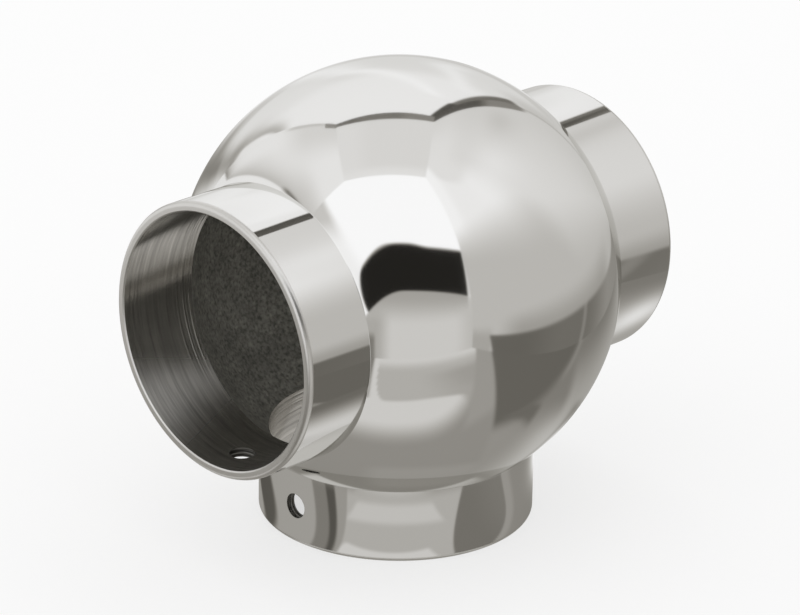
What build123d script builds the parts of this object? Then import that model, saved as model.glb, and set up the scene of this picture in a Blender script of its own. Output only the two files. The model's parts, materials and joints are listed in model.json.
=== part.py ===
from build123d import *
import os
from math import sqrt

# Ball tee fitting for round tube, in millimetres.
# One hollow casting: a round ball with three short collars. Two collars face each other along X,
# the run, and the third points down along Z, the branch. Each collar is bored for the tube,
# and each bore opens into the hollow of the ball.
# The origin is the centre of the branch mouth, on which the fitting stands. +Z is up.

# Tube and its socket
tube_diameter = 50.8
tube_clearance = 0.15
collar_wall = 1.95
rim_outer_round = 1.0
rim_inner_break = 0.25

# Ball
ball_diameter = 87.5
ball_wall = 3.0
junction_fillet = 1.2

# Reach from the centre of the ball to each mouth
run_reach = 49.5
branch_reach = 49.2

# Tapping hole for the set screw of each collar
screw_hole_diameter = 5.0
screw_inset = 8.0

# Values that follow from the sizes above
bore_radius = tube_diameter / 2 + tube_clearance
collar_radius = bore_radius + collar_wall
ball_radius = ball_diameter / 2
cavity_radius = ball_radius - ball_wall
ball_centre = Vector(0, 0, branch_reach)
# Two neighbouring collars stand at a right angle. Fillets of this radius would meet on the ball between
# them, so a fillet may take half of it.
right_angle_share = sqrt(0.5)
meeting_fillet = (ball_radius * right_angle_share - collar_radius) / (1 - right_angle_share)
fillet_radius = min(junction_fillet, meeting_fillet / 2)

# Each socket: the way out of its mouth, its reach, and the side that its set screw is on
sockets = (
    (Vector(1, 0, 0), run_reach, Vector(0, 0, -1)),
    (Vector(-1, 0, 0), run_reach, Vector(0, 0, -1)),
    (Vector(0, 0, -1), branch_reach, Vector(1, 0, 0)),
)

lengthwise = (Align.CENTER, Align.CENTER, Align.MIN)


def socket_frame(way_out, screw_side):
    """Plane at the ball's centre whose normal points out of the mouth and whose x points to the screw."""
    return Plane(origin=ball_centre, x_dir=screw_side, z_dir=way_out)


def collar(reach):
    """Solid round collar from the ball's centre to the mouth, with its outer edge rounded."""
    blank = Cylinder(collar_radius, reach, align=lengthwise)
    mouth_edge = blank.edges().filter_by(GeomType.CIRCLE).sort_by(Axis.Z)[-1]
    return fillet(mouth_edge, rim_outer_round)


def bore(reach):
    """Space for the tube, from the ball's centre to the mouth, with the mouth's inner edge broken."""
    straight = Cylinder(bore_radius, reach, align=lengthwise)
    mouth_break = Cone(bore_radius, bore_radius + rim_inner_break, rim_inner_break, align=lengthwise)
    return straight + Pos(0, 0, reach - rim_inner_break) * mouth_break


def screw_hole(reach):
    """Round hole from the tube's axis out through the collar's wall, towards the screw's side."""
    drill = Cylinder(screw_hole_diameter / 2, collar_radius + collar_wall, align=lengthwise)
    return Pos(0, 0, reach - screw_inset) * Rot(0, 90, 0) * drill


def junction_edges(joined):
    """Round edges where the collars leave the ball, found by where their centres have to lie."""
    distance = sqrt(ball_radius**2 - collar_radius**2)
    centres = [ball_centre + way_out * distance for way_out, reach, side in sockets]
    round_edges = joined.edges().filter_by(GeomType.CIRCLE)
    return [
        edge
        for edge in round_edges
        for centre in centres
        if (edge.arc_center - centre).length < fillet_radius / 2
    ]


def outside():
    """Ball and collars in one, with a small fillet where each collar leaves the ball."""
    ball = Pos(ball_centre) * Sphere(ball_radius)
    joined = ball + [socket_frame(way_out, side) * collar(reach) for way_out, reach, side in sockets]
    return fillet(junction_edges(joined), fillet_radius)


def inside():
    """Hollow of the ball with the three bores that open into it."""
    hollow = Pos(ball_centre) * Sphere(cavity_radius)
    return hollow + [socket_frame(way_out, side) * bore(reach) for way_out, reach, side in sockets]


def tee_body():
    """The casting: the outside less the inside and the three screw holes."""
    holes = [socket_frame(way_out, side) * screw_hole(reach) for way_out, reach, side in sockets]
    return outside() - inside() - holes


def write(name, shape):
    """Write one solid to parts/NAME.step under its own name."""
    shape.label = name
    export_step(shape, f"parts/{name}.step")


os.makedirs("parts", exist_ok=True)
write("tee_body", tee_body())
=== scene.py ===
import json
from math import atan2, cos, degrees, pi, radians, sin, sqrt

import bpy
import numpy as np
from mathutils import Matrix, Vector


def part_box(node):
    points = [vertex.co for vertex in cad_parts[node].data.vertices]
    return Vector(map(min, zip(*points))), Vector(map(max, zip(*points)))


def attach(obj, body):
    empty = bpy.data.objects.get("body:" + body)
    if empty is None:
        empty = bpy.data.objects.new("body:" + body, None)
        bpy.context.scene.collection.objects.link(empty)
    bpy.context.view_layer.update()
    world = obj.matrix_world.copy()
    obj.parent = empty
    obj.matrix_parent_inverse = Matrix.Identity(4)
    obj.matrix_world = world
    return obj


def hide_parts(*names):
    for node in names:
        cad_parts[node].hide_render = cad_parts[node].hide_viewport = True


# Looks of the ball tee fitting: one polished stainless casting that stands in a white light tent.
# Everything is in metres in the row frame: the origin is the centre of the branch mouth and +Z is up.

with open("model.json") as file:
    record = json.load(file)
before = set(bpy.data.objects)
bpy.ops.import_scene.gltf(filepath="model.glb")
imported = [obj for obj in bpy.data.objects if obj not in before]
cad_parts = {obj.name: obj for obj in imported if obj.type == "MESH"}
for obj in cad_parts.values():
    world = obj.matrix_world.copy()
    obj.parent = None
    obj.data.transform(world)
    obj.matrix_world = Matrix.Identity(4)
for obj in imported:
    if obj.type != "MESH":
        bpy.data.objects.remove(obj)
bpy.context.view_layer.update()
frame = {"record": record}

mm = 0.001

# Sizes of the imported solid
mounts = {mount["name"]: mount for mount in frame["record"]["mounts"]}
high_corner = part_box("tee_body")[1]
centre_height = mounts["run_socket_front"]["pos_m"][2]
ball_centre = np.array([0.0, 0.0, centre_height])
ball_radius = high_corner.z - centre_height
run_reach = high_corner.x
bore_radius = mounts["run_socket_front"]["dims"]["r_mm"] * mm
screw_radius = mounts["run_screw_front"]["dims"]["r_mm"] * mm
screw_inset = run_reach - mounts["run_screw_front"]["pos_m"][0]

# Sizes that the casting shares with the solid
collar_wall = 1.95 * mm
ball_wall = 3.0 * mm
rim_outer_round = 1.0 * mm
rim_inner_break = 0.25 * mm
collar_radius = bore_radius + collar_wall
cavity_radius = ball_radius - ball_wall

# Small roundings that only the looks have
junction_fillet = 0.12 * mm
break_round = 0.06 * mm
hollow_edge_round = 0.35 * mm
hole_edge_round = 0.08 * mm

# Deep rings that the boring tool left: distance in from the bore's inner end and from the rim, and depth
inner_rings = ((0.8 * mm, 0.05 * mm), (1.7 * mm, 0.035 * mm), (2.3 * mm, 0.05 * mm), (3.9 * mm, 0.03 * mm))
outer_rings = ((1.1 * mm, 0.02 * mm), (2.4 * mm, 0.03 * mm), (3.1 * mm, 0.02 * mm))
ring_width = 0.16 * mm

# Thread of the set screw, an M6
thread_pitch = 1.0 * mm
thread_depth = 0.5 * mm
thread_fade = 0.3 * mm
thread_crest = 0.25
thread_flank = 0.625

# Each socket: the way out of its mouth, its reach, and the side that its set screw is on
sockets = (
    (Vector((1, 0, 0)), run_reach, Vector((0, 0, -1))),
    (Vector((-1, 0, 0)), run_reach, Vector((0, 0, -1))),
    (Vector((0, 0, -1)), centre_height, Vector((1, 0, 0))),
)
# Sides of the ball with no socket: the way out, and one direction along the face
plain_sides = (
    (Vector((0, 1, 0)), Vector((1, 0, 0))),
    (Vector((0, -1, 0)), Vector((1, 0, 0))),
    (Vector((0, 0, 1)), Vector((1, 0, 0))),
)

# How finely the casting is divided. A sixth of the ball has cells_across cells from edge to edge.
cells_across = 48
azimuth_step = pi / 2 / cells_across
azimuths = np.arange(-2 * cells_across, 2 * cells_across + 1) * azimuth_step
patch_cells = 8
patch_half_turn = patch_cells / 2 * azimuth_step
patch_half_length = 3.7 * mm
# Rows of cells along each stretch of a socket, from its sixth of the ball round to the hollow
ball_rows, fillet_rows, collar_rows, surround_rows = 8, 8, 3, 5
round_rows, face_rows, break_rows, slope_rows = 12, 4, 2, 1
near_rim_rows, near_hollow_rows, hollow_edge_rows, hollow_rows = 20, 44, 4, 14
thread_rows, hole_edge_rows = 28, 4

# Finishes of the casting, in the order of its material slots
polished, faced, turned, cast, tapped = range(5)
# Colours of the finishes, as shares of the light that they send back.
# The bore's dark ring colour and the tapped holes' colour are painted shade.
steel_colour = (0.85, 0.845, 0.83)
steel_edge_colour = (0.88, 0.88, 0.87)
faced_colour = (0.7, 0.69, 0.665)
# Painted shade: the bore's rings run down to this dark colour in their grooves
ring_shade_colour = (0.12, 0.115, 0.105)
bright_ring_colour = (0.92, 0.9, 0.86)
# Painted shade: the tapped holes' dark colour
tapped_shade_colour = (0.2, 0.195, 0.18)


# Sections of a socket: rows of radius, distance out along the axis, and the outward normal's two parts


def straight(start, stop, rows):
    """Straight stretch from start to stop. Its normal points to the right of the way along it."""
    start, stop = np.array(start), np.array(stop)
    way = (stop - start) / np.linalg.norm(stop - start)
    share = np.linspace(0, 1, rows + 1)[:, None]
    normals = np.tile([way[1], -way[0]], (rows + 1, 1))
    return np.hstack([start + (stop - start) * share, normals])


def bend(centre, radius, first, last, rows, inward=False):
    """Round stretch: centre plus radius along a spoke that turns from the first to the last angle.

    Angles are in degrees from straight out of the axis towards the mouth. The normal is the spoke,
    or its opposite where the round is hollow.
    """
    angle = np.radians(np.linspace(first, last, rows + 1))
    spokes = np.stack([np.cos(angle), np.sin(angle)], axis=1)
    return np.hstack([np.array(centre) + radius * spokes, -spokes if inward else spokes])


# Patches of the casting's skin: points, normals, map coordinates, finish and the cells that are kept


def socket_axes(way_out, side):
    """Columns: towards the set screw, across it, and out of the mouth."""
    return np.column_stack([side, way_out.cross(side), way_out])


def placed(axes, radius, azimuth, along):
    """Points at a radius and an azimuth round a socket's axis and a distance out of the ball's centre."""
    parts = np.stack(np.broadcast_arrays(radius * np.cos(azimuth), radius * np.sin(azimuth), along), axis=-1)
    return parts @ axes.T


def turned_patch(section, axes, finish, with_hole=False):
    """Surface of revolution of a section about a socket's axis. The hole's square is left open."""
    radius, along, outwards, lengthwise = (section[:, column, None] for column in range(4))
    points = ball_centre + placed(axes, radius, azimuths, along)
    normals = placed(axes, outwards, azimuths, lengthwise)
    across, up = np.broadcast_arrays(azimuths / (2 * pi), along)
    kept = np.ones((len(section) - 1, len(azimuths) - 1), bool)
    if with_hole:
        middle = 2 * cells_across
        kept[:, middle - patch_cells // 2 : middle + patch_cells // 2] = False
    return points, normals, np.stack([across, up], axis=-1), finish, kept


def ball_ring(radius, first_angle, axes, finish, rows, inward=False):
    """Ring of a ball between a socket and the square edge of that socket's sixth of the ball.

    The edge of the sixth lies at a polar angle whose tangent is one over the larger of the azimuth's
    cosine and sine. The rows share out the angle between that edge and the first angle.
    """
    edge_angle = np.arctan(1 / np.maximum(abs(np.cos(azimuths)), abs(np.sin(azimuths))))
    share = np.linspace(0, 1, rows + 1)[:, None]
    polar = first_angle + (edge_angle - first_angle) * share
    spokes = placed(axes, np.sin(polar), azimuths, np.cos(polar))
    flat = np.stack(np.broadcast_arrays(azimuths / (2 * pi), radius * polar), axis=-1)
    kept = np.ones((rows, len(azimuths) - 1), bool)
    return ball_centre + radius * spokes, -spokes if inward else spokes, flat, finish, kept


def ball_side(radius, way_out, side, finish, inward=False):
    """A whole sixth of a ball: the directions out + tan(a) side + tan(b) across, made one radius long."""
    axes = socket_axes(way_out, side)
    slopes = np.tan(np.linspace(-pi / 4, pi / 4, cells_across + 1))
    across, up = np.meshgrid(slopes, slopes)
    spokes = np.stack([across, up, np.ones_like(across)], axis=-1) @ axes.T
    spokes /= np.linalg.norm(spokes, axis=-1, keepdims=True)
    kept = np.ones((cells_across, cells_across), bool)
    flat = np.stack([across, up], axis=-1) * radius
    return ball_centre + radius * spokes, -spokes if inward else spokes, flat, finish, kept


def round_the_hole():
    """Angles round the hole, one for each step along the edge of its square."""
    return np.linspace(0, 2 * pi, 4 * patch_cells + 1)


def square_edge(angle):
    """Runs evenly along the edge of a square from -1 to 1: a three-sided wave, cut off at both ends."""
    wave = 2 - 4 / pi * abs((angle + pi) % (2 * pi) - pi)
    return np.clip(wave, -1, 1)


def hole_surround(radius, axes, hole_out, finish, rows, inward=False):
    """Wall of the collar between the hole's round edge and the square left open for it.

    Azimuth and distance out change evenly from the circle to the square along each row.
    """
    angle = round_the_hole()
    edge_radius = screw_radius + hole_edge_round
    share = np.linspace(0, 1, rows + 1)[:, None]
    near = np.arcsin(edge_radius * np.cos(angle) / radius)
    far = patch_half_turn * square_edge(angle)
    azimuth = near + (far - near) * share
    near = edge_radius * np.sin(angle)
    far = patch_half_length * square_edge(angle - pi / 2)
    along = hole_out + near + (far - near) * share
    points = ball_centre + placed(axes, radius, azimuth, along)
    normals = placed(axes, -1.0 if inward else 1.0, azimuth, np.zeros_like(along))
    flat = np.stack([azimuth / (2 * pi), along], axis=-1)
    return points, normals, flat, finish, np.ones((rows, len(angle) - 1), bool)


def thread_groove(angle, height):
    """Depth of the thread: a wave along a helix, with flat crests, sloping flanks and a flat root."""
    turn = (height / thread_pitch - angle / (2 * pi)) % 1
    wave = 1 - abs(2 * turn - 1)
    return thread_depth * np.clip((wave - thread_crest) / thread_flank, 0, 1)


def hole_wall(axes, hole_out, rows, edge_rows):
    """Wall of the tapped hole, from the collar's outside to its bore, with both edges rounded.

    Each edge is a quarter round from the collar's wall to the hole. Between them the radius is the
    hole's own plus the thread's groove, which fades to nothing at both edges.
    """
    angle = round_the_hole()
    edge_radius = screw_radius + hole_edge_round
    top = np.sqrt(collar_radius**2 - (edge_radius * np.cos(angle)) ** 2)
    bottom = np.sqrt(bore_radius**2 - (edge_radius * np.cos(angle)) ** 2)
    quarter = np.linspace(0, pi / 2, edge_rows + 1)[:, None]
    share = np.linspace(0, 1, rows + 1)[1:-1, None]
    upper_height = top - hole_edge_round * (1 - np.cos(quarter))
    lower_height = bottom + hole_edge_round * (1 - np.sin(quarter))
    upper_radius = edge_radius - hole_edge_round * np.sin(quarter)
    lower_radius = edge_radius - hole_edge_round * np.cos(quarter)
    middle_height = upper_height[-1] + (lower_height[0] - upper_height[-1]) * share
    from_edge = np.minimum(upper_height[-1] - middle_height, middle_height - lower_height[0])
    fade = soft_step(from_edge, thread_fade / 2, thread_fade)
    middle_radius = screw_radius + fade * thread_groove(angle, middle_height)
    height = np.vstack([upper_height, middle_height, lower_height])
    ones = np.ones_like(angle)
    radius = np.vstack([upper_radius * ones, middle_radius, lower_radius * ones])
    spokes = np.stack([np.zeros_like(height), -np.cos(angle) * radius, -np.sin(angle) * radius], axis=-1)
    parts = np.stack([height, radius * np.cos(angle), hole_out + radius * np.sin(angle)], axis=-1)
    flat = np.stack(np.broadcast_arrays(angle / (2 * pi), height), axis=-1)
    kept = np.ones((len(height) - 1, len(angle) - 1), bool)
    return ball_centre + parts @ axes.T, spokes @ axes.T, flat, tapped, kept


def soft_step(value, edge, soft):
    """0 below the edge and 1 above it, with a smooth change as wide as soft."""
    share = np.clip((value - edge) / soft + 0.5, 0, 1)
    return share * share * (3 - 2 * share)


def ringed(section, rings):
    """Cuts rings into a straight stretch of the bore: each is a narrow bell, pushed into the wall.

    Each ring is a distance out along the axis and a depth. The normals follow the new slope.
    """
    for place, depth in rings:
        section[:, 0] += depth * np.exp(-(((section[:, 1] - place) / ring_width) ** 2))
    way = np.gradient(section[:, :2], axis=0)
    way[[0, -1], 0] = 0
    way /= np.linalg.norm(way, axis=1, keepdims=True)
    section[:, 2], section[:, 3] = way[:, 1], -way[:, 0]
    return section


def socket_patches(way_out, reach, side):
    """All patches round one socket, from its sixth of the ball, out over the collar and rim, and in again."""
    axes = socket_axes(way_out, side)
    hole_out = reach - screw_inset
    patches = []

    # Where the fillet touches the ball and the collar
    fillet_radius = collar_radius + junction_fillet
    fillet_out = sqrt((ball_radius + junction_fillet) ** 2 - fillet_radius**2)
    fillet_angle = atan2(fillet_out, fillet_radius)
    patches.append(ball_ring(ball_radius, pi / 2 - fillet_angle, axes, polished, ball_rows))
    fillet_middle = (fillet_radius, fillet_out)
    fillet_start = 180 + degrees(fillet_angle)
    fillet = bend(fillet_middle, junction_fillet, fillet_start, 180, fillet_rows, inward=True)
    patches.append(turned_patch(fillet, axes, polished))

    # Collar, in three stretches, the middle one round the screw hole
    square_start, square_end = hole_out - patch_half_length, hole_out + patch_half_length
    rim_start = reach - rim_outer_round
    for start, stop, rows, with_hole in (
        (fillet_out, square_start, collar_rows, False),
        (square_start, square_end, patch_cells, True),
        (square_end, rim_start, collar_rows, False),
    ):
        stretch = straight((collar_radius, start), (collar_radius, stop), rows)
        patches.append(turned_patch(stretch, axes, polished, with_hole))
    patches.append(hole_surround(collar_radius, axes, hole_out, polished, surround_rows))

    # Rim: outer round, flat face, and a broken inner edge between two tiny rounds
    outer_round = bend((collar_radius - rim_outer_round, rim_start), rim_outer_round, 0, 90, round_rows)
    setback = break_round * (sqrt(2) - 1)
    upper = (bore_radius + rim_inner_break + setback, reach - break_round)
    lower = (bore_radius + break_round, reach - rim_inner_break - setback)
    face = straight((collar_radius - rim_outer_round, reach), (upper[0], reach), face_rows)
    first_round = bend(upper, break_round, 90, 135, break_rows)
    second_round = bend(lower, break_round, 135, 180, break_rows)
    slope = straight(first_round[-1, :2], second_round[0, :2], slope_rows)
    for stretch in (outer_round, face, first_round, slope, second_round):
        patches.append(turned_patch(stretch, axes, faced))

    # Bore, in three stretches again, with a round edge where it opens into the hollow
    edge_radius = bore_radius + hollow_edge_round
    edge_out = sqrt((cavity_radius + hollow_edge_round) ** 2 - edge_radius**2)
    edge_angle = atan2(edge_out, edge_radius)
    near_rim = [(lower[1] - inwards, depth) for inwards, depth in outer_rings]
    near_hollow = [(edge_out + outwards, depth) for outwards, depth in inner_rings]
    for start, stop, rows, with_hole, rings in (
        (lower[1], square_end, near_rim_rows, False, near_rim),
        (square_end, square_start, patch_cells, True, ()),
        (square_start, edge_out, near_hollow_rows, False, near_hollow),
    ):
        stretch = straight((bore_radius, start), (bore_radius, stop), rows)
        patches.append(turned_patch(ringed(stretch, rings), axes, turned, with_hole))
    patches.append(hole_surround(bore_radius, axes, hole_out, turned, surround_rows, inward=True))
    edge_end = 180 + degrees(edge_angle)
    hollow_edge = bend((edge_radius, edge_out), hollow_edge_round, 180, edge_end, hollow_edge_rows)
    patches.append(turned_patch(hollow_edge, axes, cast))
    patches.append(ball_ring(cavity_radius, pi / 2 - edge_angle, axes, cast, hollow_rows, inward=True))

    patches.append(hole_wall(axes, hole_out, thread_rows, hole_edge_rows))
    return patches


def side_patches(way_out, side):
    """Outside and inside of one side of the ball with no socket."""
    return [
        ball_side(ball_radius, way_out, side, polished),
        ball_side(cavity_radius, way_out, side, cast, inward=True),
    ]


def grid_cells(rows, columns):
    """Corners of every cell in a grid whose points are counted row by row."""
    index = np.arange(rows * columns).reshape(rows, columns)
    return np.stack([index[:-1, :-1], index[:-1, 1:], index[1:, 1:], index[1:, :-1]], axis=-1)


def join_patches(patches):
    """Joins patches into corners, their map coordinates, welded points, normals and finishes.

    Each patch gives one face for each kept cell of its grid, and points that no face uses are dropped. Points
    nearer than the weld distance become one, and a face whose corners run the wrong way round its normals is
    turned over.
    """
    weld = 1e-7
    no_length = 1e-12
    faces, finishes, offset = [], [], 0
    for points, normals, flat, finish, kept in patches:
        rows, columns = points.shape[:2]
        cells = offset + grid_cells(rows, columns)[kept]
        faces.append(cells)
        finishes.append(np.full(len(cells), finish))
        offset += rows * columns
    faces, finishes = np.concatenate(faces), np.concatenate(finishes)
    used, faces = np.unique(faces, return_inverse=True)
    faces = faces.reshape(-1, 4)
    points, normals, flat = (
        np.concatenate([patch[part].reshape(-1, patch[part].shape[-1]) for patch in patches])[used]
        for part in range(3)
    )
    corners = points[faces]
    facing = np.cross(corners[:, 2] - corners[:, 0], corners[:, 3] - corners[:, 1])
    wrong = (facing * normals[faces].sum(axis=1)).sum(axis=1) < 0
    faces[wrong] = faces[wrong, ::-1]
    cells = np.round(points / weld).astype(np.int64)
    _, first, same = np.unique(cells, axis=0, return_index=True, return_inverse=True)
    same = same.reshape(-1)
    summed = np.stack([np.bincount(same, normals[:, part]) for part in range(3)], axis=1)
    lengths = np.linalg.norm(summed, axis=1, keepdims=True)
    return points[first], summed / np.maximum(lengths, no_length), same[faces], flat[faces], finishes


def add_object(name, data):
    """New object, linked to the scene."""
    thing = bpy.data.objects.new(name, data)
    bpy.context.collection.objects.link(thing)
    return thing


def casting_roughness(points):
    """Height of the rough cast surface at each point: the sum of many waves in all directions.

    Each wave swings by the same small share of its own length.
    """
    rng = np.random.default_rng(8)
    waves = 40
    shortest, longest = 1.6, 6.0
    height_share = 0.004
    ways = rng.normal(size=(waves, 3))
    ways /= np.linalg.norm(ways, axis=1, keepdims=True)
    lengths = rng.uniform(shortest, longest, waves) * mm
    shifts = rng.uniform(0, 2 * pi, waves)
    swing = np.sin(points @ (ways / lengths[:, None]).T * 2 * pi + shifts)
    return swing @ lengths * height_share


def tee_casting():
    """The casting as one closed mesh, with its smooth normals and its turning map."""
    patches = []
    for socket in sockets:
        patches += socket_patches(*socket)
    for side in plain_sides:
        patches += side_patches(*side)
    points, normals, faces, flat, finishes = join_patches(patches)

    # The hollow is rough: its points move along their spokes, less near the bores
    spokes = points - ball_centre
    distance = np.linalg.norm(spokes, axis=1)
    in_hollow = np.zeros(len(points), bool)
    in_hollow[faces[finishes == cast]] = True
    along = np.max([spokes @ np.array(way) for way, reach, side in sockets], axis=0)
    nearest = np.arccos(np.clip(along / distance, -1, 1))
    edge_angle = np.arcsin((bore_radius + hollow_edge_round) / (cavity_radius + hollow_edge_round))
    fade_width = radians(4)
    fade = soft_step(nearest, edge_angle + fade_width / 2, fade_width) * in_hollow
    points = points + spokes / distance[:, None] * (casting_roughness(points) * fade)[:, None]

    mesh = bpy.data.meshes.new("tee_casting")
    mesh.from_pydata(points, [], faces)
    mesh.polygons.foreach_set("material_index", finishes.astype(np.int32))
    mesh.polygons.foreach_set("use_smooth", np.ones(len(faces), bool))
    turning = mesh.uv_layers.new(name="turning")
    turning.data.foreach_set("uv", flat.astype(np.float32).ravel())
    mesh.update()
    rough = in_hollow & (fade > 0)
    rough[faces[finishes == tapped]] = True
    own = np.empty(len(points) * 3, np.float32)
    mesh.vertex_normals.foreach_get("vector", own)
    normals[rough] = own.reshape(-1, 3)[rough]
    mesh.normals_split_custom_set_from_vertices(normals.tolist())
    return add_object("tee_casting", mesh)


# Materials


def shader_material(name):
    """New node material, with its tree and its Principled BSDF."""
    material = bpy.data.materials.new(name)
    material.use_nodes = True
    return material, material.node_tree, material.node_tree.nodes["Principled BSDF"]


def bare_material(name):
    """New node material with nothing but an output, with its tree and the output's surface."""
    material = bpy.data.materials.new(name)
    material.use_nodes = True
    tree = material.node_tree
    tree.nodes.clear()
    return material, tree, add_node(tree, "ShaderNodeOutputMaterial").inputs["Surface"]


def add_node(tree, kind, **settings):
    """New node of a kind, with its settings."""
    node = tree.nodes.new(kind)
    for name, value in settings.items():
        setattr(node, name, value)
    return node


def fill(tree, socket, value):
    """Links an input to another node's socket, or gives it a plain value."""
    if isinstance(value, bpy.types.NodeSocket):
        tree.links.new(value, socket)
    else:
        socket.default_value = value


def feed(tree, node, **inputs):
    """Fills the inputs that are named, with underscores for spaces."""
    for name, value in inputs.items():
        fill(tree, node.inputs[name.replace("_", " ")], value)
    return node


def math_node(tree, operation, *values):
    """Result of one operation on the values."""
    node = add_node(tree, "ShaderNodeMath", operation=operation)
    for socket, value in zip(node.inputs, values):
        fill(tree, socket, value)
    return node.outputs[0]


def ranged(tree, change="LINEAR", **inputs):
    """Value moved from one range to another, evenly unless another kind of change is named."""
    node = add_node(tree, "ShaderNodeMapRange", interpolation_type=change)
    return feed(tree, node, **inputs).outputs["Result"]


def mixed(tree, share, first, second):
    """Colour that goes from the first to the second with the share."""
    node = add_node(tree, "ShaderNodeMix", data_type="RGBA")
    return feed(tree, node, Factor=share, A=first, B=second).outputs["Result"]


def bumped(tree, height, distance):
    """Normal of a surface that rises by the distance where the height is 1."""
    return feed(tree, add_node(tree, "ShaderNodeBump"), Height=height, Distance=distance).outputs["Normal"]


def new_group(name, inputs, outputs):
    """Empty node group with float inputs, given with their defaults, and float outputs."""
    group = bpy.data.node_groups.new(name, "ShaderNodeTree")
    for label, value in inputs.items():
        socket = group.interface.new_socket(label, in_out="INPUT", socket_type="NodeSocketFloat")
        socket.default_value = value
    for label in outputs:
        group.interface.new_socket(label, in_out="OUTPUT", socket_type="NodeSocketFloat")
    return group, group.nodes.new("NodeGroupInput"), group.nodes.new("NodeGroupOutput")


def place_group(tree, group, **inputs):
    """Output of a node group that is placed in a tree with values of its own."""
    node = add_node(tree, "ShaderNodeGroup", node_tree=group)
    return feed(tree, node, **inputs).outputs[0]


def surface_variation_group():
    """Slow and fine change over a metal surface, from its own coordinates, as a value about 0.5."""
    group, given, put_out = new_group("surface_variation", {"Scale": 100.0, "Detail": 3.0}, ["Value"])
    place = add_node(group, "ShaderNodeTexCoord").outputs["Object"]
    noise = add_node(group, "ShaderNodeTexNoise")
    feed(group, noise, Vector=place, Scale=given.outputs["Scale"], Detail=given.outputs["Detail"])
    group.links.new(noise.outputs["Fac"], put_out.inputs["Value"])
    return group


def turning_place(tree):
    """Share of a turn round the socket and metres out along it, from the turning map."""
    turning = add_node(tree, "ShaderNodeUVMap", uv_map="turning")
    split = add_node(tree, "ShaderNodeSeparateXYZ")
    tree.links.new(turning.outputs["UV"], split.inputs[0])
    return split.outputs["X"], split.outputs["Y"]


def turning_rings_group():
    """Rings that a cutting tool leaves: noise that changes fast along a socket and slowly round it."""
    inputs = {"Rings per metre": 4000.0, "Stretch round": 6.0}
    group, given, put_out = new_group("turning_rings", inputs, ["Height"])
    turns, metres = turning_place(group)
    angle = math_node(group, "MULTIPLY", turns, 2 * pi)
    place = add_node(group, "ShaderNodeCombineXYZ")
    for wave, axis in (("COSINE", "X"), ("SINE", "Y")):
        swing = math_node(group, wave, angle)
        stretched = math_node(group, "MULTIPLY", swing, given.outputs["Stretch round"])
        group.links.new(stretched, place.inputs[axis])
    along = math_node(group, "MULTIPLY", metres, given.outputs["Rings per metre"])
    group.links.new(along, place.inputs["Z"])
    noise = add_node(group, "ShaderNodeTexNoise")
    feed(group, noise, Vector=place.outputs[0], Scale=1.0, Detail=3.0, Roughness=0.65)
    group.links.new(noise.outputs["Fac"], put_out.inputs["Height"])
    return group


def polished_material(variation):
    """Mirror polish: low roughness that drifts a little, and a slow unevenness left by the buffing wheel."""
    material, tree, shader = shader_material("polished_stainless")
    drift = place_group(tree, variation, Scale=60.0, Detail=4.0)
    wave = place_group(tree, variation, Scale=45.0, Detail=1.0)
    feed(
        tree,
        shader,
        Base_Color=(*steel_colour, 1),
        Specular_Tint=(*steel_edge_colour, 1),
        Metallic=1.0,
        Roughness=ranged(tree, Value=drift, To_Min=0.03, To_Max=0.09),
        Normal=bumped(tree, wave, distance=0.012 * mm),
    )
    return material


def faced_material(rings):
    """Rim: faced on the lathe, then lightly polished."""
    material, tree, shader = shader_material("faced_rim")
    lines = place_group(tree, rings, Rings_per_metre=9000.0)
    feed(
        tree,
        shader,
        Base_Color=(*faced_colour, 1),
        Metallic=1.0,
        Roughness=ranged(tree, Value=lines, To_Min=0.24, To_Max=0.4),
        Normal=bumped(tree, lines, distance=0.004 * mm),
    )
    return material


def rough_side_group():
    """Mask of the side of a bore that the boring tool cut more roughly.

    In degrees round and mm along, it runs between two slanted edges on one side of the screw hole.
    """
    group, given, put_out = new_group("rough_side", {"Soft start": 9.0, "Soft end": 20.0}, ["Mask"])
    turns, metres = turning_place(group)
    turn = math_node(group, "WRAP", math_node(group, "MULTIPLY", turns, 360.0), 180.0, -180.0)
    # Each edge: its slant in degrees per mm, its shift in degrees, the side that it keeps, and its softness
    edges = ((0.64, 30.0, 1.0, "Soft start"), (0.86, -68.0, -1.0, "Soft end"))
    masks = []
    for slant, shift, side, soft in edges:
        along = math_node(group, "MULTIPLY_ADD", metres, slant / mm, shift)
        inside = math_node(group, "MULTIPLY_ADD", turn, side, along)
        outer = math_node(group, "MULTIPLY", given.outputs[soft], -1.0)
        masks.append(ranged(group, "SMOOTHSTEP", Value=inside, From_Min=outer, From_Max=given.outputs[soft]))
    group.links.new(math_node(group, "MULTIPLY", *masks), put_out.inputs["Mask"])
    return group


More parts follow.
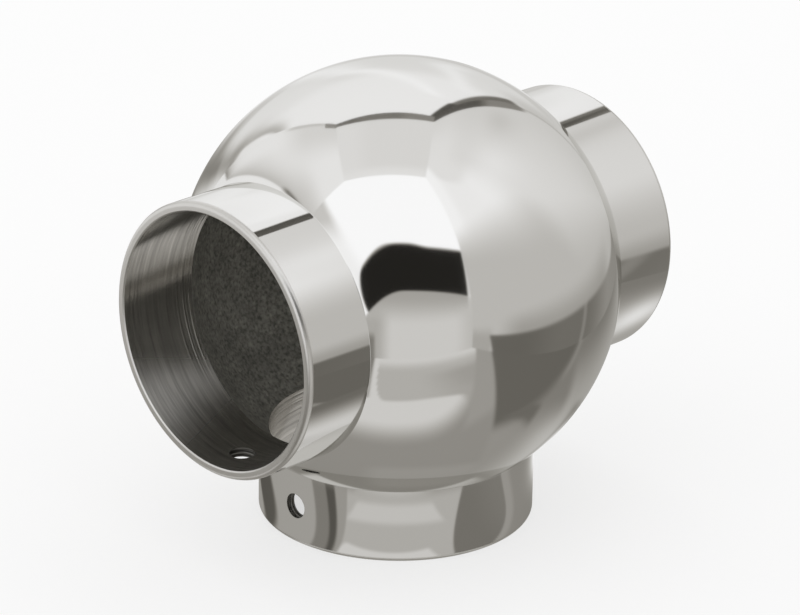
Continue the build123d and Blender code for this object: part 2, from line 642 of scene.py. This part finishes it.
def turned_material(rings, rough_side):
    """Bore: rings from the boring tool, fine ones and strong ones, and one side where they are rougher."""
    material, tree, shader = shader_material("turned_bore")
    fine = place_group(tree, rings, Rings_per_metre=1900.0, Stretch_round=1.5)
    strong = place_group(tree, rings, Rings_per_metre=700.0, Stretch_round=1.2)
    mask = place_group(tree, rough_side)
    both = math_node(tree, "ADD", fine, strong)
    plain_depth, added_depth = 0.6, 2.0
    depth = math_node(tree, "MULTIPLY_ADD", mask, added_depth, plain_depth)
    height = math_node(tree, "MULTIPLY", math_node(tree, "SUBTRACT", both, 1.0), depth)
    # Painted shade: the colour follows the ring height, darkest in the grooves, and keeps the whole bore
    # darker than the polished outside
    shade = ranged(tree, Value=both, From_Min=0.7, From_Max=1.3, To_Min=0.4, To_Max=0.85)
    tangent = add_node(tree, "ShaderNodeTangent", direction_type="UV_MAP", uv_map="turning")
    feed(
        tree,
        shader,
        Base_Color=mixed(tree, shade, (*ring_shade_colour, 1), (*bright_ring_colour, 1)),
        Metallic=1.0,
        Roughness=ranged(tree, Value=mask, To_Min=0.22, To_Max=0.46),
        Anisotropic=0.85,
        Anisotropic_Rotation=0.25,
        Tangent=tangent.outputs[0],
        Normal=bumped(tree, height, distance=0.03 * mm),
    )
    return material


def cast_material(variation):
    """Hollow: the grey, grainy skin of the casting, with darker patches."""
    material, tree, shader = shader_material("rough_cast")
    grain = place_group(tree, variation, Scale=1300.0, Detail=3.0)
    patches = place_group(tree, variation, Scale=180.0, Detail=3.0)
    grain_shade = ranged(tree, Value=grain, From_Min=0.3, From_Max=0.7, To_Min=0.55, To_Max=1.5)
    patch_shade = ranged(tree, Value=patches, From_Min=0.3, From_Max=0.7, To_Min=0.22, To_Max=0.32)
    red = math_node(tree, "MULTIPLY", grain_shade, patch_shade)
    green = math_node(tree, "MULTIPLY", red, 0.98)
    blue = math_node(tree, "MULTIPLY", red, 0.88)
    colour = add_node(tree, "ShaderNodeCombineColor")
    feed(tree, colour, Red=red, Green=green, Blue=blue)
    feed(
        tree,
        shader,
        Base_Color=colour.outputs[0],
        Metallic=0.7,
        Roughness=0.62,
        Normal=bumped(tree, grain, distance=0.12 * mm),
    )
    return material


def tapped_material(rings):
    """Screw holes: threads whose colour is far darker than the outside, a painted shade in the holes."""
    material, tree, shader = shader_material("tapped_hole")
    lines = place_group(tree, rings, Rings_per_metre=12000.0)
    haze = ranged(tree, Value=lines, To_Min=0.25, To_Max=0.5)
    feed(tree, shader, Base_Color=(*tapped_shade_colour, 1), Metallic=1.0, Roughness=haze)
    return material


# Light tent: plain cards round the casting, seen only in its polish. Tones are grey levels of 0 to 1, and
# lengths in the tones' functions are mm from the ball's centre.


def below(value, edge, soft):
    """1 below the edge and 0 above it."""
    return soft_step(-value, -edge, soft)


def between(value, low, high, soft):
    """1 between low and high and 0 outside, with soft edges."""
    return soft_step(value, low, soft) * below(value, high, soft)


def spot(x, y, middle, spread):
    """Round or oval spot that fades out as a bell."""
    return np.exp(-(((x - middle[0]) / spread[0]) ** 2) - ((y - middle[1]) / spread[1]) ** 2)


def ridge(value, low_side, high_side):
    """Bell about 0, with a width of its own on each side."""
    return np.exp(-((value / np.where(value < 0, low_side, high_side)) ** 2))


def arch(value, middle, radius):
    """Drop of a shallow arc below its middle."""
    return (value - middle) ** 2 / (2 * radius)


def bow(value, start, reach, power):
    """Drop of a curve that bends down past its start, and has dropped by its reach one reach further on."""
    return reach * (np.maximum(value - start, 0) / reach) ** power


def laid(level, mask, tone):
    """The level with another tone laid over it where the mask is 1."""
    return level + (tone - level) * mask


def front_tones(x, y):
    """Front wall, x to the image's left: bright, with the camera's dark opening and a grey flap under it."""
    level = np.full_like(x, 0.97)
    fold_edge = 98 + 0.8 * (y - 140)
    fold_tone = 0.93 - 0.17 * soft_step(y, edge=185, soft=120)
    level = laid(level, soft_step(x, edge=fold_edge, soft=35), fold_tone)

    flap_top = 50.5 - arch(x, middle=-25, radius=455) - bow(x, start=-15, reach=84, power=2.2)
    flap = below(y, edge=flap_top, soft=4)
    flap_tone = 0.625 + 0.15 * below(y, edge=22, soft=45)
    flap_tone = laid(flap_tone, below(x, edge=-105, soft=40) * below(y, edge=20, soft=30), 0.72)
    flap_tone = laid(flap_tone, soft_step(x, edge=14, soft=24) * below(y, edge=20, soft=40), 0.65)
    flap_tone = laid(flap_tone, between(x, low=27, high=42, soft=6) * below(y, edge=-14, soft=16), 0.47)
    level = laid(level, flap, flap_tone)

    top_edge = 128 + 6 * soft_step(x, edge=-38, soft=40)
    top_edge = np.minimum(top_edge, 134 - bow(x, start=-18, reach=84, power=3.55))
    top_soft = 12 + 10 * soft_step(x, edge=20, soft=30)
    side_edge = 55.5 - arch(y, middle=84, radius=115)
    other_edge = -121 - 0.06 * (y - 85)
    seam_tone = 0.80 + 0.12 * soft_step(y, edge=125, soft=40)
    level = laid(level, below(x, edge=other_edge, soft=3) * between(y, low=30, high=175, soft=40), seam_tone)
    opening = below(y, edge=top_edge, soft=top_soft) * (1 - flap)
    opening *= below(x, edge=side_edge, soft=4) * soft_step(x, edge=other_edge, soft=5)
    return laid(level, opening, 0.125)


def back_tones(x, y):
    """Back wall, x to the image's right: a soft dark curve runs down on its left and out along the floor."""
    lower = below(y, edge=168, soft=70)
    level = 0.902 - 0.042 * lower + 0.02 * below(x, edge=-90, soft=40) * lower
    level = laid(level, soft_step(x, edge=98, soft=44) * below(y, edge=105, soft=40), 0.77)
    level = laid(level, soft_step(x, edge=-150, soft=60) * between(y, low=-10, high=34, soft=22), 0.79)
    first_line = -62 + 0.62 * np.maximum(y - 115, 0)
    level = laid(level, ridge(x - first_line, 20, 20) * between(y, low=10, high=320, soft=40), 0.93)
    second_line = 30 + 0.45 * np.maximum(y - 90, 0)
    level = laid(level, ridge(x - second_line, 16, 16) * between(y, low=60, high=215, soft=40), 0.915)
    curve = -246 - np.maximum(y - 140, 0) ** 2 / 280 + 1.08 * np.maximum(60 - y, 0) + 0.6 * np.maximum(-y, 0)
    curve_tone = 0.52 + 0.10 * soft_step(y, edge=30, soft=20) + 0.07 * soft_step(y, edge=105, soft=40)
    left_width = 40 - 31 * soft_step(y, edge=100, soft=30)
    right_width = 42 - 14 * soft_step(y, edge=135, soft=50)
    right_width += 30 * spot(x, y, middle=(-140, 0), spread=(60, 15))
    level = laid(level, ridge(x - curve, left_width, right_width), curve_tone)
    level = laid(level, spot(x, y, middle=(-281, 82), spread=(30, 18)), 0.57)
    level = laid(level, spot(x, y, middle=(-20, -28), spread=(44, 32)), 0.96)
    level = laid(level, spot(x, y, middle=(16, -20), spread=(5, 20)), 0.72)
    strip_edge = 112 - 5 * soft_step(y, edge=350, soft=30)
    strip_tone = 0.42 - 0.13 * soft_step(y, edge=350, soft=30)
    return laid(level, soft_step(x, edge=strip_edge, soft=8) * soft_step(y, edge=112, soft=24), strip_tone)


def left_tones(x, y):
    """Left wall, x towards the camera: it darkens down to a sharp edge, and is bright again under that."""
    level = 0.885 - 0.07 * below(x, edge=-75, soft=200) * soft_step(y, edge=300, soft=150)
    level = laid(level, soft_step(x, edge=20, soft=180) * below(y, edge=340, soft=120), 0.81)
    level = laid(level, below(x, edge=-222, soft=10) * between(y, low=290, high=480, soft=60), 0.74)
    level = laid(level, below(x, edge=-205, soft=8) * soft_step(y, edge=490, soft=12), 0.52)
    above = y - 250 + arch(x, middle=140, radius=326) - 0.9 * np.maximum(-192 - x, 0)
    edge_tone = 0.71 - 0.20 * below(x, edge=-195, soft=50)
    fade = 41 - 27 * below(x, edge=-170, soft=90)
    level = laid(level, np.exp(-np.maximum(above, 0) / fade), edge_tone)
    level = laid(level, below(above, edge=-2, soft=6), 0.89)
    return laid(level, ridge(above - 2, 7, 7) * between(x, low=20, high=130, soft=40), 0.42)


def right_tones(x, y):
    """Right wall, x away from the camera: dark along the floor and in an upright strip near the back."""
    high = soft_step(y, edge=240 + bow(-60 - x, start=0, reach=22.5, power=2), soft=60)
    far_tone = 0.83 + 0.025 * soft_step(y, edge=330, soft=160)
    level = laid(0.905 - 0.045 * high, soft_step(x, edge=-32, soft=60), far_tone)
    level -= 0.035 * soft_step(x, edge=90, soft=180)
    bright_edge = -135 + 0.06 * (y - 200)
    level = laid(level, below(x, edge=bright_edge, soft=40) * soft_step(y, edge=150, soft=80), 0.935)
    low_edge = 121 - 0.42 * (x + 120) - 28 * soft_step(x, edge=-6, soft=40)
    low_soft = 100 - 0.35 * np.maximum(x + 60, 0)
    level = laid(level, below(y, low_edge, low_soft), 0.71)
    level = laid(level, below(y, edge=-8, soft=26) * between(x, low=-100, high=70, soft=50), 0.60)
    level = laid(level, below(y, edge=-20, soft=24) * below(x, edge=-132, soft=14), 0.63)
    level = laid(level, spot(x, y, middle=(130, 172), spread=(48, 34)), 0.76)
    strip_edge = 197 + arch(np.minimum(y, 170), middle=170, radius=125)
    strip_tone = 0.50 - 0.18 * soft_step(y, edge=215, soft=60)
    level = laid(level, soft_step(x, edge=strip_edge, soft=5) * soft_step(y, edge=105, soft=20), strip_tone)
    level += 0.045 * spot(x, y, middle=(2, 165), spread=(45, 60))
    ground_top = -25.5 + 5 * spot(x, y, middle=(10, -22), spread=(80, 60))
    ground_tone = 0.375 + 0.04 * soft_step(x, edge=-50, soft=60) + 0.13 * soft_step(x, edge=42, soft=70)
    ground_tone = laid(ground_tone, between(x, low=8, high=14, soft=4), 0.50)
    ground = below(y, edge=ground_top, soft=5) * soft_step(x, edge=-134 - 0.35 * (y + 30), soft=5)
    return laid(level, ground, ground_tone)


def ceiling_tones(x, y):
    """Ceiling, x to the image's right and y towards the camera, with a dark curved strip along the back."""
    level = np.full_like(x, 0.825)
    level = laid(level, soft_step(y, edge=130, soft=60), 0.86)
    level = laid(level, 0.5 * below(x, edge=-170, soft=120), 0.86)
    strip_edge = -188 - arch(x, middle=-20, radius=1250)
    strip_tone = 0.44 + 0.05 * soft_step(x, edge=0, soft=60) - 0.03 * below(x, edge=-180, soft=60)
    return laid(level, below(y, edge=strip_edge, soft=5), strip_tone)


def mouth_tone(x, y):
    """Floor inside the branch's mouth, which only the bores reflect: lighter in its back part."""
    forward = y + 0.25 * (x + 1)
    return 0.70 - 0.22 * soft_step(forward, edge=-1, soft=5) - 0.2 * soft_step(forward, edge=11, soft=9)


def floor_tones(x, y):
    """Floor seen from above, x to the image's right and y towards the camera.

    A pale strip opens to the right on its way to the camera. Beside it the floor is dark up to a
    thin light seam, and grey behind that.
    """
    reach = np.hypot(x, y)
    level = 0.555 + 0.12 * below(y, edge=12, soft=26) * soft_step(x, edge=0, soft=20)
    level = laid(level, soft_step(x, edge=54, soft=30) * soft_step(y, edge=-6, soft=16), 0.49)
    level = laid(level, soft_step(x, edge=20, soft=30) * below(y, edge=-8, soft=16), 0.635)
    level = laid(level, soft_step(x + 0.3 * (y + 25), edge=86, soft=70), 0.465)
    level = laid(level, spot(x, y, middle=(37, -6), spread=(12, 12)), 0.73)
    level = laid(level, below(x, edge=-150, soft=150), 0.78)
    level = laid(level, spot(x, y, middle=(-95, 48), spread=(9, 7)), 0.90)
    level = laid(level, below(reach, edge=mouth_edge, soft=1), mouth_tone(x, y))

    seam_line = 2.8 + 0.54 * (95.4 - x)
    left_edge = -24 + 8 * soft_step(y, edge=84, soft=8) - 0.11 * np.maximum(y - 84, 0)
    right_edge = 2 + 0.955 * y
    away = soft_step(reach, edge=52, soft=16)
    dark = soft_step(x, edge=right_edge, soft=6) * soft_step(y, edge=seam_line + 5, soft=15) * away
    level = laid(level, dark, 0.378)
    seam = ridge(y - seam_line, 3.5, 3.5) * soft_step(x, edge=85, soft=20)
    level = laid(level, seam, 0.51)

    strip = below(x, edge=right_edge, soft=6) * soft_step(x, edge=left_edge, soft=3)
    strip *= soft_step(y, edge=8, soft=8)
    tone = 0.54 + 0.13 * soft_step(y, edge=72, soft=40) + 0.11 * soft_step(y, edge=152, soft=40)
    tone -= 0.07 * soft_step(x, edge=42, soft=50) * between(y, low=82, high=124, soft=24)
    square_start = 56 + bow(x, start=12, reach=60, power=2)
    square_end = 85 - bow(x, start=18, reach=110, power=2) + bow(-x, start=4, reach=6, power=3)
    square = soft_step(y, edge=square_start, soft=20) * below(y, edge=square_end, soft=5)
    tone = laid(tone, square * below(x, edge=45, soft=9), 0.785)
    tone = laid(tone, below(reach, edge=34, soft=5) * soft_step(x, edge=-7, soft=8), 0.57)
    # The pale strip is darker past a slanted line
    darker_side = soft_step(x, edge=30 + 0.82 * (y - 50), soft=6) * soft_step(y, edge=50, soft=10)
    tone = laid(tone, darker_side, 0.58)
    level = laid(level, strip, tone)
    return laid(level, below(x, edge=left_edge - 1, soft=3) * soft_step(y, edge=54, soft=14), 0.47)


def middle_floor_tones(x, y):
    """Floor seen at a middling slant: the same, with light that gathers in front of the run and behind it."""
    level = floor_tones(x, y)
    inward = x + 1.1 * np.maximum(y - 28, 0)
    near = below(inward, edge=62, soft=6) * between(y, low=20, high=60, soft=6)
    level = laid(level, near, 0.79 - 0.39 * soft_step(inward, edge=36, soft=40))
    return laid(level, spot(x, y, middle=(72, -37), spread=(19, 9)), 0.88)


def low_floor_tones(x, y):
    """Floor seen low, where it shines: the same far out, and wedges that fan out from the branch collar."""
    reach = np.hypot(x, y)
    turn = np.degrees(np.arctan2(x, y))
    right_line = 27.5 + 0.61 * (reach - 28)
    far_right_line = 49 + 28 * (1 - np.exp(-(reach - 28.5) / 5.5))
    lens_right = -26.4 - 0.43 * (reach - 29.2)
    lens_left = -30 - 0.556 * (reach - 29.2)
    stripe_left = -38 - 0.67 * (reach - 30)
    # Near the collar the tones are painted light and shade: a pale sector where light falls in front of the
    # fitting, and darker wedges beside it that are its painted shadow
    level = np.full_like(x, 0.60)
    right_tone = 0.43 + 0.03 * soft_step(turn, edge=60, soft=30)
    level = laid(level, soft_step(turn, edge=right_line, soft=2), right_tone)
    level = laid(level, soft_step(turn, edge=far_right_line, soft=2), 0.57)
    level = laid(level, soft_step(turn, edge=far_right_line + 8, soft=6), 0.52)
    level = laid(level, spot(x, y, middle=(30, -23), spread=(11, 12)), 0.94)
    pale = np.full_like(x, 0.66)
    pale = laid(pale, between(y, low=25, high=31, soft=2) * between(x, low=-13, high=10, soft=2), 0.77)
    pale = laid(pale, between(x, low=-20, high=22, soft=3) * between(reach, low=44, high=53, soft=4), 0.735)
    pale = laid(pale, below(turn, edge=-24 - 0.2 * (reach - 30), soft=1.5), 0.57)
    level = laid(level, between(turn, low=lens_right, high=right_line, soft=2), pale)
    level = laid(level, between(turn, low=stripe_left, high=lens_left, soft=2), 0.465)
    level = laid(level, between(turn, low=lens_left, high=lens_right, soft=2), 0.31)
    wedge_start, wedge_end = -70 - 6.2 * (reach - 27.8), -60 - 2.2 * (reach - 27.8)
    level = laid(level, between(turn, low=wedge_start, high=wedge_end, soft=7), 0.33)
    level = laid(level, below(reach, edge=mouth_edge, soft=1), mouth_tone(x, y))
    return laid(level, soft_step(reach, edge=58, soft=8), floor_tones(x, y))


tent_turn = radians(44.1)
to_camera_side = Vector((cos(tent_turn), sin(tent_turn), 0))
to_right = Vector((-sin(tent_turn), cos(tent_turn), 0))
straight_up = Vector((0, 0, 1))
# How far the tent's walls and ceiling stand from the ball's centre, in mm
tent_front, tent_back, tent_left, tent_right, tent_top = 177, 242, 283, 125, 592
floor_drop = centre_height / mm
card_lift = 0.2
near_reach = 70
# Size of a card's cells in mm: for soft tones, for sharper ones, and right under the fitting
soft_cell, right_cell, sharp_cell, near_cell = 2.5, 2.0, 1.5, 0.5
# Radius of the branch's mouth in the floor's tones, in mm
mouth_edge = 25.5
# The floor shows other tones from a steep, a middling and a low look. Each change runs between two shares of
# the way from straight down to level.
middling_look = (0.19, 0.23)
low_look = (0.38, 0.45)


def light_from(level):
    """Light that shows as a grey level of 0 to 1 in this steel, a little warm under a near white.

    The level goes through a screen's curve. Warmth takes some of the green and the blue away, and the tint
    is then made as bright as grey.
    """
    near_white, most_warmth = 0.97, 0.18
    warm_cut = np.array([0.0, 0.33, 1.0])
    brightness = np.array([0.2126, 0.7152, 0.0722])
    level = np.clip(level, 0, 1)[..., None]
    linear = np.where(level < 0.04045, level / 12.92, ((level + 0.055) / 1.055) ** 2.4)
    warmth = np.clip(0.3 * (near_white - level), 0, most_warmth)
    tint = 1 - warmth * warm_cut
    tint /= tint @ brightness[:, None]
    return linear * tint / np.array(steel_colour)


glow_names = ("steep_glow", "middling_glow", "low_glow")


def tent_card(name, start, across, up, x_range, y_range, cell, *tones):
    """Flat card whose point at x, y is the start plus x across plus y up, all in mm.

    Its glow is worked out from x and y at each point of a grid, for a steep, a middling and a low look.
    A card with one set of tones has the same glow from all sides.
    """
    columns = int((x_range[1] - x_range[0]) / cell) + 1
    rows = int((y_range[1] - y_range[0]) / cell) + 1
    x, y = np.meshgrid(np.linspace(*x_range, columns), np.linspace(*y_range, rows))
    points = np.array(start) + (x[..., None] * np.array(across) + y[..., None] * np.array(up)) * mm
    mesh = bpy.data.meshes.new(name)
    mesh.from_pydata(points.reshape(-1, 3), [], grid_cells(rows, columns).reshape(-1, 4))
    colours = np.ones((rows * columns, 4), np.float32)
    for label, levels in zip(glow_names, tones * 3 if len(tones) == 1 else tones):
        glow = mesh.color_attributes.new(label, "FLOAT_COLOR", "POINT")
        colours[:, :3] = light_from(levels(x, y)).reshape(-1, 3)
        glow.data.foreach_set("color", colours.ravel())
    mesh.materials.append(bpy.data.materials["tent_cloth"])
    card = add_object(name, mesh)
    card.visible_camera = False
    card.visible_diffuse = False
    card.visible_shadow = False
    card.visible_transmission = False


def light_tent():
    """Four walls, a ceiling and a floor of the tent, at the places that the reflections give."""
    material, tree, surface = bare_material("tent_cloth")
    readers = [add_node(tree, "ShaderNodeAttribute", attribute_name=name) for name in glow_names]
    glows = [reader.outputs["Color"] for reader in readers]
    look = add_node(tree, "ShaderNodeLayerWeight")
    colour = glows[0]
    for (first, last), next_colour in zip((middling_look, low_look), glows[1:]):
        share = ranged(tree, "SMOOTHSTEP", Value=look.outputs["Facing"], From_Min=first, From_Max=last)
        colour = mixed(tree, share, colour, next_colour)
    light = feed(tree, add_node(tree, "ShaderNodeEmission"), Color=colour)
    tree.links.new(light.outputs[0], surface)

    centre = Vector(ball_centre)
    sideways, lengthwise = (-tent_left, tent_right), (-tent_back, tent_front)
    height = (-floor_drop, tent_top)
    front = centre + to_camera_side * tent_front * mm
    back = centre - to_camera_side * tent_back * mm
    left = centre - to_right * tent_left * mm
    right = centre + to_right * tent_right * mm
    ceiling = centre + straight_up * tent_top * mm
    floor = centre - straight_up * (floor_drop - card_lift) * mm
    from_right, from_front = (-tent_right, tent_left), (-tent_front, tent_back)
    tent_card("tent_front", front, -to_right, straight_up, from_right, height, sharp_cell, front_tones)
    tent_card("tent_back", back, to_right, straight_up, sideways, height, soft_cell, back_tones)
    tent_card("tent_left", left, to_camera_side, straight_up, lengthwise, height, soft_cell, left_tones)
    tent_card("tent_right", right, -to_camera_side, straight_up, from_front, height, right_cell, right_tones)
    flat = (to_right, to_camera_side)
    tent_card("tent_ceiling", ceiling, *flat, sideways, lengthwise, soft_cell, ceiling_tones)
    looks = (floor_tones, middle_floor_tones, low_floor_tones)
    tent_card("tent_floor", floor, *flat, sideways, lengthwise, sharp_cell, *looks)
    middle = floor + straight_up * card_lift * mm
    near = (-near_reach, near_reach)
    tent_card("tent_middle", middle, *flat, near, near, near_cell, *looks)


# Floor and surroundings

floor_size = 6.0
floor_gap = 0.05 * mm
floor_colour = (0.86, 0.86, 0.86, 1)
white = (1, 1, 1, 1)
# How much of what the camera and mirrors see of the floor is plain white, and how strong that white is
white_share = 0.6
white_strength = 1.06


def pale_floor():
    """Pale floor: white to the camera and to mirrors, with a part of it shaded by soft light."""
    half = floor_size / 2
    corners = [(-half, -half, 0), (half, -half, 0), (half, half, 0), (-half, half, 0)]
    mesh = bpy.data.meshes.new("pale_floor")
    mesh.from_pydata(corners, [], [(0, 1, 2, 3)])
    floor = add_object("pale_floor", mesh)
    floor.location.z = -floor_gap
    material, tree, surface = bare_material("pale_floor")
    matte = add_node(tree, "ShaderNodeBsdfDiffuse")
    feed(tree, matte, Color=floor_colour)
    glow = add_node(tree, "ShaderNodeEmission")
    path = add_node(tree, "ShaderNodeLightPath")
    mix = add_node(tree, "ShaderNodeMixShader")
    seen = math_node(tree, "MAXIMUM", path.outputs["Is Camera Ray"], path.outputs["Is Glossy Ray"])
    seen = math_node(tree, "MAXIMUM", seen, path.outputs["Is Transmission Ray"])
    share = math_node(tree, "MULTIPLY", seen, white_share)
    feed(tree, glow, Color=white, Strength=white_strength)
    tree.links.new(share, mix.inputs["Fac"])
    tree.links.new(matte.outputs[0], mix.inputs[1])
    tree.links.new(glow.outputs[0], mix.inputs[2])
    tree.links.new(mix.outputs[0], surface)
    mesh.materials.append(material)


def white_world():
    """White all round, at plain strength."""
    world = bpy.data.worlds.new("white_studio")
    bpy.context.scene.world = world
    world.use_nodes = True
    background = world.node_tree.nodes["Background"]
    feed(world.node_tree, background, Color=white, Strength=1.0)


# Camera, fitted to the outlines

image_width = 800
camera_place = Vector((560.27, 572.93, 376.95)) * mm
camera_turn = radians(45.62)
camera_rise = radians(22.65)
camera_roll = radians(0.94)
focal_pixels = 4397.1
sensor = 36.0


def add_camera():
    """Camera that looks back along the turn and rise, rolled a little."""
    level_share, up_share = cos(camera_rise), sin(camera_rise)
    backwards = Vector((level_share * cos(camera_turn), level_share * sin(camera_turn), up_share))
    level_right = Vector((-sin(camera_turn), cos(camera_turn), 0))
    level_up = backwards.cross(level_right)
    right = level_right * cos(camera_roll) + level_up * sin(camera_roll)
    up = level_up * cos(camera_roll) - level_right * sin(camera_roll)
    data = bpy.data.cameras.new("camera")
    data.sensor_width = sensor
    data.lens = focal_pixels / image_width * sensor
    data.clip_end = 20
    camera = add_object("camera", data)
    aim = Matrix((right, up, backwards)).transposed().to_4x4()
    camera.matrix_world = Matrix.Translation(camera_place) @ aim
    bpy.context.scene.camera = camera


bpy.context.scene.view_settings.view_transform = "Standard"
variation = surface_variation_group()
rings = turning_rings_group()
casting = tee_casting()
for finish in (
    polished_material(variation),
    faced_material(rings),
    turned_material(rings, rough_side_group()),
    cast_material(variation),
    tapped_material(rings),
):
    casting.data.materials.append(finish)
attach(casting, "root")
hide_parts("tee_body")
light_tent()
pale_floor()
white_world()
add_camera()
